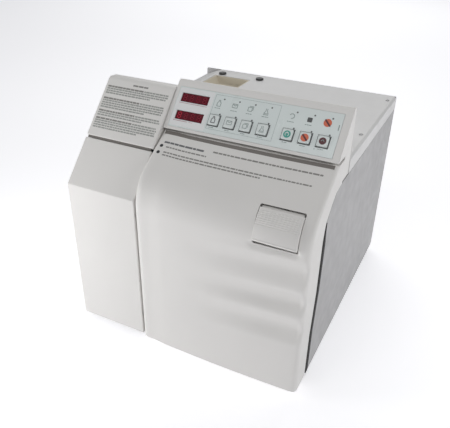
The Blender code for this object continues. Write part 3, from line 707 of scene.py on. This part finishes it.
def handle_outline():
    """The pull's section: its front with fine grip lines and a folded lip below, and its plain back."""
    first, last = GRIP_SPAN
    steps = 96
    front = []
    for i in range(steps + 1):
        t = i / steps
        radius = 0.0597 + 0.0031 * math.sin(t * math.pi / 2)
        if first < t < last:
            radius -= GRIP_DEPTH * (0.5 - 0.5 * math.cos(2 * math.pi * (t - first) / GRIP_PITCH))
        front.append(about_bend(49.5 - 39.5 * t, radius))
    front += [(-0.0030, 0.2495), (-0.0028, 0.2478), (-0.0020, 0.2468), (-0.0004, 0.2465), (0.0012, 0.2467)]
    back = [about_bend(angle, 0.0577) for angle in (10, 20, 30, 40, 47)]
    return front, back


def build_handle_grip(low, high):
    """The pull's curved plate, with round ends."""
    front, back = handle_outline()
    centre = Vector((DOOR_BLEND, blend_centre_z()))
    ends = 0.0010
    near = 0.0004
    rows = (
        (low, ends),
        (low + near, 0.0003),
        (low + ends, 0.0),
        (high - ends, 0.0),
        (high - near, 0.0003),
        (high, ends),
    )
    sections = []
    for x, inset in rows:
        ring = []
        for point in front:
            inward = (centre - Vector(point)).normalized() * inset
            ring.append(place(x, point[0] + inward.x, point[1] + inward.y))
        sections.append(ring + [place(x, y, z) for y, z in back])
    grip = add_piece("door_handle_grip", loft(sections), M["white"], "handle", 30)
    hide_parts("door_handle")


def build_handle_barrel(low, high):
    """The barrel that turns on the handle's pin, with a rib that joins it to the plate."""
    pin_low, pin_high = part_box("handle_pin")
    bore = (pin_high.z - pin_low.z) / 2 + 0.0003
    profile = ((bore, low), (BARREL_RADIUS, low), (BARREL_RADIUS, high), (bore, high), (bore, low))
    lug = turned(profile, HANDLE_AXIS, 24, "X")
    rib = rounded((0.0190, 0.2775), (HANDLE_AXIS[0] - bore - 0.0003, 0.2830), 0.0003, 1)
    loft([[place(x, u, v) for u, v in rib] for x in (low + 0.0005, high - 0.0005)], lug)
    barrel = add_piece("door_handle_barrel", lug, M["white"], "handle", 30)


# ---------------------------------------------------------------- control panel
def pictogram(kind, u, v, size, width):
    """Plain line drawings: a bottle, a pouch, a stack of packs, and a flask on a base."""
    def at(points):
        return [(u + a * size, v + b * size) for a, b in points]

    if kind == 0:
        outline = at(((-0.30, -0.5), (0.30, -0.5), (0.30, 0.10), (0.12, 0.24), (0.12, 0.5), (-0.12, 0.5)))
        outline += at(((-0.12, 0.24), (-0.30, 0.10), (-0.30, -0.5)))
        return path(outline, width)
    if kind == 1:
        strokes = frame_strokes(u, v, 0.42 * size, 0.30 * size, width)
        return strokes + path(at(((-0.42, 0.30), (0.0, 0.0), (0.42, 0.30))), width)
    if kind == 2:
        strokes = frame_strokes(u - 0.08 * size, v - 0.08 * size, 0.32 * size, 0.32 * size, width)
        return strokes + path(at(((-0.24, 0.40), (0.40, 0.40), (0.40, -0.24))), width)
    flask = ((-0.12, 0.5), (-0.12, 0.12), (-0.36, -0.32), (0.36, -0.32), (0.12, 0.12), (0.12, 0.5))
    return path(at(flask), width) + path(at(((-0.42, -0.5), (0.42, -0.5))), width)


def seven_segment(u, v, height):
    """All seven strokes of a display digit."""
    half_u = height * 0.27
    half_v = height / 2
    width = height * 0.13
    reach = half_u * 0.75
    space = width * 0.6
    strokes = []
    for level in (-half_v, 0, half_v):
        strokes.append(stroke(u - reach, v + level, u + reach, v + level, width))
    for side in (u - half_u, u + half_u):
        for low in (v - half_v, v):
            strokes.append(stroke(side, low + space, side, low + half_v - space, width))
    return strokes


def build_displays():
    """Two windows of four digits each. The lower window's first digit is a little brighter."""
    for name, s in DISPLAYS.items():
        refined(name, M["lens"], 0.0003)
        digits = [seven_segment(-0.0535 + 0.0107 * i, s, 0.0088) for i in range(4)]
        lit = 1 if name == "display_lens_lower" else 0
        groups = (("lit", digits[:lit], "segment_lit"), ("off", digits[lit:], "segment"))
        for label, group, material in groups:
            if group:
                outlines = [outline for digit in group for outline in digit]
                piece = print_patches(f"{name}_digits_{label}", outlines, on_lens, M[material], "cabinet")


def build_panel_print():
    """The film's fields, pictograms, lamps' dots and small captions, and painted shadow round the keys."""
    bands = ((0.06265, 0.0073), (0.0379, 0.0134), (0.01175, 0.0101))
    white = [(-0.0655, -0.0085, v, thick) for v, thick in bands]
    for s in DISPLAYS.values():
        white += [(-0.0655, -0.0602, s, 0.0138), (-0.0148, -0.0085, s, 0.0138)]
    print_bars("film_display_field", white, on_film, M["film_white"], "cabinet")
    lines = (
        (-0.0610, -0.0150, 0.0427, 0.0007),
        (-0.0610, -0.0380, 0.0149, 0.0009),
        (-0.0350, -0.0290, 0.0149, 0.0006),
    )
    outlines = bar_outlines(lines)
    print_patches("film_display_lines", outlines, on_film, M["ink_pink"], "cabinet", 1)

    soft = []
    for kind, x in enumerate(ICONS):
        soft += pictogram(kind, x, ICON_ROW, ICON_SIZE, 0.0009)
    ring = arc(RESET_SIGN, ICON_ROW + 0.0005, 0.0034, -100, 160, 18)
    soft += path(ring, 0.0010)
    captions = []
    for x in (*ICONS, RESET_SIGN, SQUARE_SIGN):
        captions += greek(x - 0.0050, x + 0.0050, 0.0443, 0.0009, int(x * 10000), (0.002, 0.004), 0.0006)
    for x in KEYS.values():
        captions += greek(x - 0.0048, x + 0.0030, 0.0143, 0.0009, int(x * 9000), (0.002, 0.004), 0.0006)
    soft += bar_outlines(captions)
    (left, low), (right, high) = CYCLE_FIELD
    soft += path(((left, low), (right, low), (right, high), (left, high), (left, low)), 0.0003)
    soft += path(((0.1795, 0.0440), (0.1795, 0.0520)), 0.0012)
    soft.append(disc(0.1558, 0.0135, 0.0007, 12))
    print_patches("film_print_sage", soft, on_film, M["ink_soft"], "cabinet")

    dark = [disc(x, LED_ROWS[0], 0.0012, 14) for x in LAMPS]
    for x in KEYS.values():
        dark.append(disc(x + 0.0062, LED_ROWS[1] + 0.0016, 0.0012, 14))
    corners = (SQUARE_SIGN - 0.0034, ICON_ROW - 0.0036), (SQUARE_SIGN + 0.0034, ICON_ROW + 0.0030)
    dark.append(rounded(*corners, 0.0008, 2))
    # Painted shadow round each key: a thick dark stroke along its right and lower edges, a thin one along its
    # left and upper edges.
    for x in KEYS.values():
        edge = KEY_HALF + 0.0012
        for width, points in (
            (0.0012, ((-edge, -edge), (edge, -edge), (edge, edge))),
            (0.0004, ((edge, edge), (-edge, edge), (-edge, -edge))),
        ):
            dark += path([(x + a, KEY_ROW + b) for a, b in points], width)
    print_patches("film_print_dark_and_key_shadow", dark, on_film, M["shade"], "cabinet")

    mark = [disc(STOP_SIGN, ICON_ROW, 0.0056, 28)]
    print_patches("film_stop_disc", mark, on_film, M["orange"], "cabinet")
    slash = [stroke(STOP_SIGN - 0.0042, ICON_ROW + 0.0042, STOP_SIGN + 0.0042, ICON_ROW - 0.0044, 0.0021)]
    print_patches("film_stop_slash", slash, on_film, M["maroon"], "cabinet", 1)


def key_marks(name, kind):
    """What is printed on a key: rows of label, outlines, material and layer."""
    if name == "key_start":
        sign = path(arc(0, 0, 0.0026, -60, 240, 16), 0.0008) + path(((0, 0.0008), (0, 0.0036)), 0.0008)
        return (("disc", [disc(0, 0, 0.0052)], "green", 0), ("sign", sign, "film_white", 1))
    if name == "key_stop":
        slash = [stroke(-0.0040, 0.0040, 0.0040, -0.0040, 0.0021)]
        return (("disc", [disc(0, 0, 0.0055)], "orange", 0), ("slash", slash, "maroon", 1))
    if name == "key_vent":
        sign = path(((-0.0022, -0.0004), (0, 0.0020), (0.0022, -0.0004)), 0.0007)
        return (("disc", [disc(0, 0, 0.0050)], "maroon", 0), ("sign", sign, "ink_soft", 1))
    if kind == 0:
        return (("mark", pictogram(kind, 0, 0, ICON_SIZE, 0.0012), "ink", 0),)
    return (("mark", pictogram(kind, 0, 0, ICON_SIZE, 0.0008), "ink_soft", 0),)


def build_keys():
    """Seven pale caps with a round edge, each with its own mark."""
    for kind, (name, x) in enumerate(KEYS.items()):
        refined(name, M["key"], 0.0005, 3)

        def on_key(u, v, height):
            return on_hood(x + u, KEY_ROW + v, KEY_TOP + height)

        for label, outlines, material, level in key_marks(name, kind):
            piece = print_patches(f"{name}_{label}", outlines, on_key, M[material], name, level)


def build_column_joint():
    """Grey-brown strip that lies just inside the joint between the column's two covers."""
    outline = ((0.0618, 0.3062), (0.0648, 0.3094), (0.0664, 0.3080), (0.0634, 0.3048))
    sections = [[place(x, y, z) for y, z in outline] for x in (-0.1912, -0.0773)]
    strip = add_piece("column_joint_strip", loft(sections), M["dark_strip_and_shade"], "cabinet")


def build_column_label():
    """Four blocks of plain bars under a short heading, each with a bold start, on the column's label."""
    bold = greek(-0.1455, -0.1180, 0.0905, 0.0026, 21, (0.006, 0.010), 0.0010)
    bars = []
    seed = 5
    for first, lines in ((0.0835, 4), (0.0635, 5), (0.0425, 3), (0.0297, 5)):
        for i in range(lines):
            v = first - 0.0037 * i
            end = -0.0785 - (0.030 if i == lines - 1 else 0.0006 * (seed % 5))
            start = -0.1895
            if i == 0:
                bold += greek(start, -0.124, v, 0.0027, seed, (0.003, 0.009), 0.0008)
                start = -0.1226
            bars += greek(start, end, v, 0.0023, seed + 3, (0.002, 0.007), 0.0008)
            seed += 7
    print_bars("column_label_lines", bars, on_tower, M["ink_label"], "cabinet")
    print_bars("column_label_bold", bold, on_tower, M["ink_mid"], "cabinet")


# ---------------------------------------------------------------- fasteners and cabinet details
def screw_template():
    """A pan head of unit radius with a cross recess, standing on the plane z = 0."""
    rings = ((0.90, -0.10), (1.0, 0.05), (0.97, 0.24), (0.80, 0.42), (0.50, 0.52), (0.15, 0.55))
    turned_head = loft([[(*point, z) for point in disc(0, 0, radius)] for radius, z in rings])
    head = add_piece("screw_template", turned_head, M["screw"], None)
    slot = ((-0.62, -0.11), (0.62, -0.11), (0.62, 0.11), (-0.62, 0.11))
    for corners in (slot, [(v, u) for u, v in slot]):
        recess = [[(u * k, v * k, z) for u, v in corners] for k, z in ((0.55, 0.18), (1.05, 0.70))]
        subtract(head, loft(recess))
    mesh = head.data.copy()
    bpy.data.objects.remove(head)
    return mesh


def add_screws(name, template, spots, normal, radius, body):
    """One piece of several screws, each turned a little further than the last."""
    bm = bmesh.new()
    turn = Vector((0, 0, 1)).rotation_difference(Vector(normal)).to_matrix().to_4x4()
    for i, spot in enumerate(spots):
        before = len(bm.verts)
        bm.from_mesh(template)
        bm.verts.ensure_lookup_table()
        spin = Matrix.Rotation(0.9 * i, 4, "Z") @ Matrix.Scale(radius, 4)
        matrix = Matrix.Translation(place(*spot)) @ turn @ spin
        bmesh.ops.transform(bm, matrix=matrix, verts=bm.verts[before:])
    piece = add_piece(name, bm, M["screw"], body, 40)


def build_fasteners():
    """Screws, as rows of piece name, places, direction they face, radius and body."""
    top = [(0.1850, y, TOP_Z) for y in (0.2420, 0.4228)]
    rear = [(x, REAR_Y, z) for x in (-0.186, 0.186) for z in (0.012, 0.108, 0.205, 0.300)]
    rear += [(x, REAR_Y, z) for x in (-0.060, 0.060) for z in (0.010, 0.310)]
    inlet = [(x, 0.4595, 0.059) for x in (-0.1555, -0.1145)]
    left = [(-HALF_WIDTH, y, z) for z in (0.282, 0.012) for y in (0.175, 0.435)]
    frame_edge = [(-0.062, 0.014), (0.182, 0.014), (-0.062, 0.250), (0.182, 0.250)]
    frame_edge += [(0.060, 0.012), (-0.062, 0.130), (0.184, 0.130)]
    bulkhead = [(x, FRAME_Y, z) for x, z in frame_edge]
    liner_edge = [(-0.056, 0.020), (0.178, 0.020), (-0.056, 0.262), (0.178, 0.262)]
    liner_edge += [(0.060, 0.014), (-0.056, 0.140), (0.184, 0.140)]
    liner = [(x, LINER_Y, z) for x, z in liner_edge]
    under = [(-0.170, y, 0.0) for y in (0.245, 0.438)]
    under += [(x, y, 0.0) for x in (-0.030, 0.060, 0.170) for y in (0.075, 0.245, 0.438)]
    rows = (
        ("top_screws", top, (0, 0, 1), 0.0032, "cabinet"),
        ("rear_screws", rear, (0, 1, 0), 0.0035, "cabinet"),
        ("inlet_screws", inlet, (0, 1, 0), 0.0019, "cabinet"),
        ("left_side_screws", left, (-1, 0, 0), 0.0032, "cabinet"),
        ("front_frame_screws", bulkhead, (0, -1, 0), 0.0032, "cabinet"),
        ("door_liner_screws", liner, (0, 1, 0), 0.0030, "door"),
        ("base_screws", under, (0, 0, -1), 0.0030, "cabinet"),
    )
    template = screw_template()
    for name, spots, normal, radius, body in rows:
        add_screws(name, template, spots, normal, radius, body)


def build_filler_cap():
    """A screw cap with ribs round its edge and a raised grip."""
    x, y = FILLER
    rows = (
        (0.0150, 0.3030, 0),
        (0.0150, 0.3129, 0),
        (0.0218, 0.3130, 0),
        (0.0224, 0.3137, 1),
        (0.0224, 0.3222, 1),
        (0.0214, 0.3236, 0),
        (0.0150, 0.3238, 0),
        (0.0142, 0.3230, 0),
        (0.0020, 0.3230, 0),
    )
    sections = []
    for radius, z, rib in rows:
        ring = []
        for i in range(160):
            a = 2 * math.pi * i / 160
            r = radius - rib * 0.0007 * (0.5 - 0.5 * math.cos(40 * a))
            ring.append(place(x + r * math.cos(a), y + r * math.sin(a), z))
        sections.append(ring)
    bm = loft(sections)
    grip = []
    for inset, z in ((0.0, 0.3225), (0.0002, 0.3295), (0.0008, 0.3304), (0.0016, 0.3307)):
        outline = rounded((-0.0138 + inset, -0.0028 + inset), (0.0138 - inset, 0.0028 - inset), 0.0010, 3)
        grip.append([place(x + u, y + v, z) for u, v in outline])
    loft(grip, bm)
    cap = add_piece("filler_cap_ribbed", bm, M["black"], "filler_cap", 30)
    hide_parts("filler_cap")


def build_top_print():
    """Two short lines beside the fill well."""
    bars = greek(-0.0560, -0.0180, 0.3060, 0.0022, 3, (0.004, 0.009), 0.0014)
    bars += greek(-0.0500, -0.0180, 0.2960, 0.0022, 8, (0.004, 0.009), 0.0014)
    print_bars("top_print_lines", bars, on_top, M["ink_soft"], "cabinet")


def build_rear_print():
    """A generic rating plate and a caption by the inlet, with bars in place of words."""
    plate = [rounded((-0.0560, 0.0400), (0.0240, 0.0860), 0.002)]
    print_patches("rating_plate", plate, on_rear, M["label"], "cabinet")
    bars = [(-0.0520, -0.0120, 0.0800, 0.0030)]
    for i in range(6):
        v = 0.0735 - 0.0052 * i
        bars += greek(-0.0520, -0.0250, v, 0.0016, 3 + i, (0.004, 0.009))
        bars += greek(-0.0200, 0.0190, v, 0.0016, 13 + i, (0.004, 0.009))
    outlines = bar_outlines(bars)
    outlines += frame_strokes(-0.0160, 0.0630, 0.0384, 0.0214, 0.0004)
    outlines += bar_outlines(greek(-0.1550, -0.1150, 0.0790, 0.0020, 4))
    outlines += bar_outlines(greek(-0.1000, -0.0800, 0.0720, 0.0016, 6))
    print_patches("rear_print_lines", outlines, on_rear, M["ink"], "cabinet", 1)


# ---------------------------------------------------------------- chamber and door interior
# Each profile is a row of (radius, y) points about the chamber's axis
def vessel_profile():
    flange = BORE + 0.0117
    return (
        (BORE, 0.0586),
        (BORE + 0.0006, 0.0580),
        (flange - 0.0006, 0.0580),
        (flange, 0.0586),
        (flange, 0.0640),
        (VESSEL_RADIUS, 0.0640),
        (VESSEL_RADIUS, CHAMBER_BACK),
        (0.0600, CHAMBER_BACK + 0.005),
        (0.0010, CHAMBER_BACK + 0.006),
        (0.0010, CHAMBER_BACK + 0.003),
        (0.0600, CHAMBER_BACK + 0.002),
        (BORE - 0.0060, CHAMBER_BACK - 0.0022),
        (BORE, CHAMBER_BACK - 0.009),
        (BORE, 0.0586),
    )


def jacket_profile():
    inner = VESSEL_RADIUS + 0.0005
    outer = 0.1305
    front = 0.092
    back = 0.438
    return (inner, front), (outer, front), (outer, back), (inner, back), (inner, front)


def plate_profile():
    """A dished plate with a rim, a raised middle and four rings pressed into it."""
    profile = [(0.0005, 0.0435), (0.0300, 0.0435), (0.0900, 0.0450), (0.1214, 0.0450), (0.1220, 0.0456)]
    profile += [(0.1220, 0.0527), (0.1214, 0.0533), (0.1086, 0.0533), (0.1042, 0.0558)]
    for ring in (0.094, 0.070, 0.046, 0.022):
        level = 0.0560 + 0.0020 * (0.104 - ring) / 0.104
        profile += [(ring + 0.003, level), (ring + 0.0012, level + 0.0006)]
        profile += [(ring - 0.0012, level + 0.0006), (ring - 0.003, level)]
    return [*profile, (0.0080, 0.0580), (0.0005, 0.0581)]


def gasket_profile():
    """A ring with two sealing lips."""
    outer_lip = ((0.1208, 0.0536), (0.1209, 0.0556), (0.1200, 0.0575), (0.1187, 0.0577), (0.1180, 0.0566))
    inner_lip = ((0.1173, 0.0577), (0.1160, 0.0575), (0.1151, 0.0556))
    start = (0.1152, 0.0536)
    return start, *outer_lip, *inner_lip, start


def build_round_parts():
    """Finely turned chamber, jacket, pressure plate and gasket."""
    rows = (
        ("chamber_vessel", vessel_profile(), "steel", "cabinet"),
        ("insulation_jacket", jacket_profile(), "wool", "cabinet"),
        ("pressure_plate", plate_profile(), "plate", "door"),
        ("door_gasket", gasket_profile(), "silicone", "door"),
    )
    for node, profile, material, body in rows:
        piece = add_piece(f"{node}_turned", turned(profile, CHAMBER, 144), M[material], body, 30)
        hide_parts(node)


def tray_shell(rows, corner, level):
    """A tray's outer or inner form, from rows of inset and height above the tray's own level."""
    half = RUNNER - 0.0010
    sections = []
    for inset, height in rows:
        low = (CHAMBER[0] - half + inset, TRAY_DEPTHS[0] + inset)
        high = (CHAMBER[0] + half - inset, TRAY_DEPTHS[1] - inset)
        sections.append([place(x, y, level + height) for x, y in rounded(low, high, corner, 3)])
    return loft(sections)


def build_trays():
    """Pressed trays with a perforated floor."""
    for node, level in TRAY_LEVELS.items():
        outside = tray_shell(((0.0012, 0.0003), (0.0, 0.0015), (0.0, 0.0183)), 0.005, level)
        tray = add_piece(f"{node}_pressed", outside, M["steel"], "cabinet", 30)
        subtract(tray, tray_shell(((0.0022, 0.0013), (0.0010, 0.0026), (0.0010, 0.0200)), 0.0045, level))
        holes = bmesh.new()
        for row in range(HOLE_ROWS):
            for column in range(HOLE_COLUMNS):
                x = CHAMBER[0] + 0.017 * (column - (HOLE_COLUMNS - 1) / 2)
                hole = disc(x, TRAY_DEPTHS[0] + 0.013 + 0.0179 * row, 0.0030, 10)
                loft([[place(u, v, level + height) for u, v in hole] for height in (-0.002, 0.004)], holes)
        subtract(tray, holes)
        smooth_faces(tray, 30)
        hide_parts(node)


# ---------------------------------------------------------------- camera, stage, lights
def build_stage():
    """A pale floor that glows a little, so that light comes up at the door's waves."""
    bm = bmesh.new()
    size = 6.0
    corners = ((-size, -size), (size, -size), (size, size), (-size, size))
    bm.faces.new([bm.verts.new((x, y, 0.0)) for x, y in corners])
    paper = surface("studio_floor", (0.93, 0.93, 0.94), 0.8, grain=30, bump=0.0, vary=0.0, rough_vary=0.02)
    shader = paper.node_tree.nodes["Principled BSDF"]
    shader.inputs["Emission Color"].default_value = (0.97, 0.97, 1.0, 1)
    shader.inputs["Emission Strength"].default_value = 0.44
    add_piece("floor", bm, paper, None)


def build_camera():
    """The main view: from the front right, looking down."""
    yaw = math.radians(26.21)
    pitch = math.radians(30.31)
    roll = math.radians(1.01)
    forward = Vector((-math.sin(yaw) * math.cos(pitch), math.cos(yaw) * math.cos(pitch), -math.sin(pitch)))
    right = Vector((math.cos(yaw), math.sin(yaw), 0))
    up = right.cross(forward)
    across = math.cos(roll) * right + math.sin(roll) * up
    upright = -math.sin(roll) * right + math.cos(roll) * up
    data = bpy.data.cameras.new("camera")
    data.lens = 44.08
    data.sensor_width = 36.0
    camera = bpy.data.objects.new("camera", data)
    bpy.context.scene.collection.objects.link(camera)
    turn = Matrix((across, upright, -forward)).transposed()
    camera.matrix_world = Matrix.Translation(place(0.3482, -0.5524, 0.6341)) @ turn.to_4x4()
    bpy.context.scene.camera = camera


def add_light(name, location, target, size, power):
    data = bpy.data.lights.new(name, "AREA")
    data.shape = "RECTANGLE"
    data.size = size[0]
    data.size_y = size[1]
    data.energy = power
    light = bpy.data.objects.new(name, data)
    bpy.context.scene.collection.objects.link(light)
    light.location = location
    light.rotation_euler = (Vector(target) - Vector(location)).to_track_quat("-Z", "Y").to_euler()


def build_lights():
    """A dim sky and five soft area lights: location, target, size and power."""
    bpy.context.scene.view_settings.view_transform = "Standard"
    world = bpy.data.worlds.new("studio")
    world.use_nodes = True
    world.node_tree.nodes["Background"].inputs["Color"].default_value = (0.96, 0.97, 1.0, 1)
    world.node_tree.nodes["Background"].inputs["Strength"].default_value = 0.22
    bpy.context.scene.world = world
    add_light("key_light", (-0.58, -0.56, 0.28), (-0.20, -0.2, 0.15), (0.3, 0.4), 1.75)
    add_light("camera_light", (0.10, -0.80, 1.30), (0.02, -0.12, 0.30), (0.8, 0.4), 2.4)
    add_light("top_light", (-0.3, 1.0, 1.7), (0, 0.05, 0.25), (1.4, 1.0), 9)
    add_light("right_light", (1.0, -0.15, 0.75), (0.2, -0.1, 0.38), (0.3, 0.3), 2.2)
    add_light("backdrop_light", (-0.9, 3.0, 1.6), (-0.9, 2.6, 0), (3.0, 2.0), 20)


def finish_nodes():
    """Gives every solid a procedural material for its slot."""
    # The dark_paint slot gives the bulkhead near-black painted shade for the gap round the door.
    by_slot = {
        "white_plastic": "white", "painted_steel": "paint", "side_paint": "side", "dark_paint": "frame",
        "beige_plastic": "well", "panel_film": "film", "key_light": "key", "display_red": "lens",
        "black_plastic": "black", "plated_steel": "zinc", "stainless_steel": "steel", "brass": "brass",
        "gasket_silicone": "silicone", "foot_rubber": "rubber", "insulation": "wool",
        "circuit_board": "board", "tank_plastic": "tank",
    }
    for name, obj in frame["nodes"].items():
        material = M["liner" if name == "door_inner_panel" else by_slot[slot_of(name)]]
        obj.data.materials.clear()
        obj.data.materials.append(material)


def refine_rest():
    """Round-edged copies of the plain solids that nothing else stands for."""
    widths = {
        "control_hood": 0.0014, "column_cover": 0.0014, "column_top_cover": 0.0014, "fill_well": 0.0010,
        "top_cover": 0.0006, "right_side_panel": 0.0004, "left_side_panel": 0.0004, "rear_panel": 0.0004,
        "power_inlet": 0.0004, "front_frame": 0.0004, "tray_rack": 0.0003, "door_inner_panel": 0.0005,
        "handle_housing": 0.0003, "base_pan": 0.0004, "control_overlay": 0.0001,
    }
    done = {"door_cover", "door_handle", "filler_cap", *TRAY_LEVELS, *KEYS, *DISPLAYS}
    done |= {"chamber_vessel", "insulation_jacket", "pressure_plate", "door_gasket"}
    for name, obj in frame["nodes"].items():
        if name not in done:
            refined(name, obj.data.materials[0], widths.get(name, 0.0005))


def main():
    finish_nodes()
    build_camera()
    build_stage()
    build_lights()
    build_door_cover()
    build_rim_shade_strip()
    build_door_print()
    build_handle_grip(HANDLE_LEFT + HANDLE_GAP, HANDLE_RIGHT - HANDLE_GAP)
    build_handle_barrel(HANDLE_LEFT + HANDLE_GAP + 0.002, HANDLE_RIGHT - HANDLE_GAP - 0.002)
    build_displays()
    build_panel_print()
    build_keys()
    build_column_joint()
    build_column_label()
    build_fasteners()
    build_filler_cap()
    build_top_print()
    build_rear_print()
    build_round_parts()
    build_trays()
    refine_rest()


main()
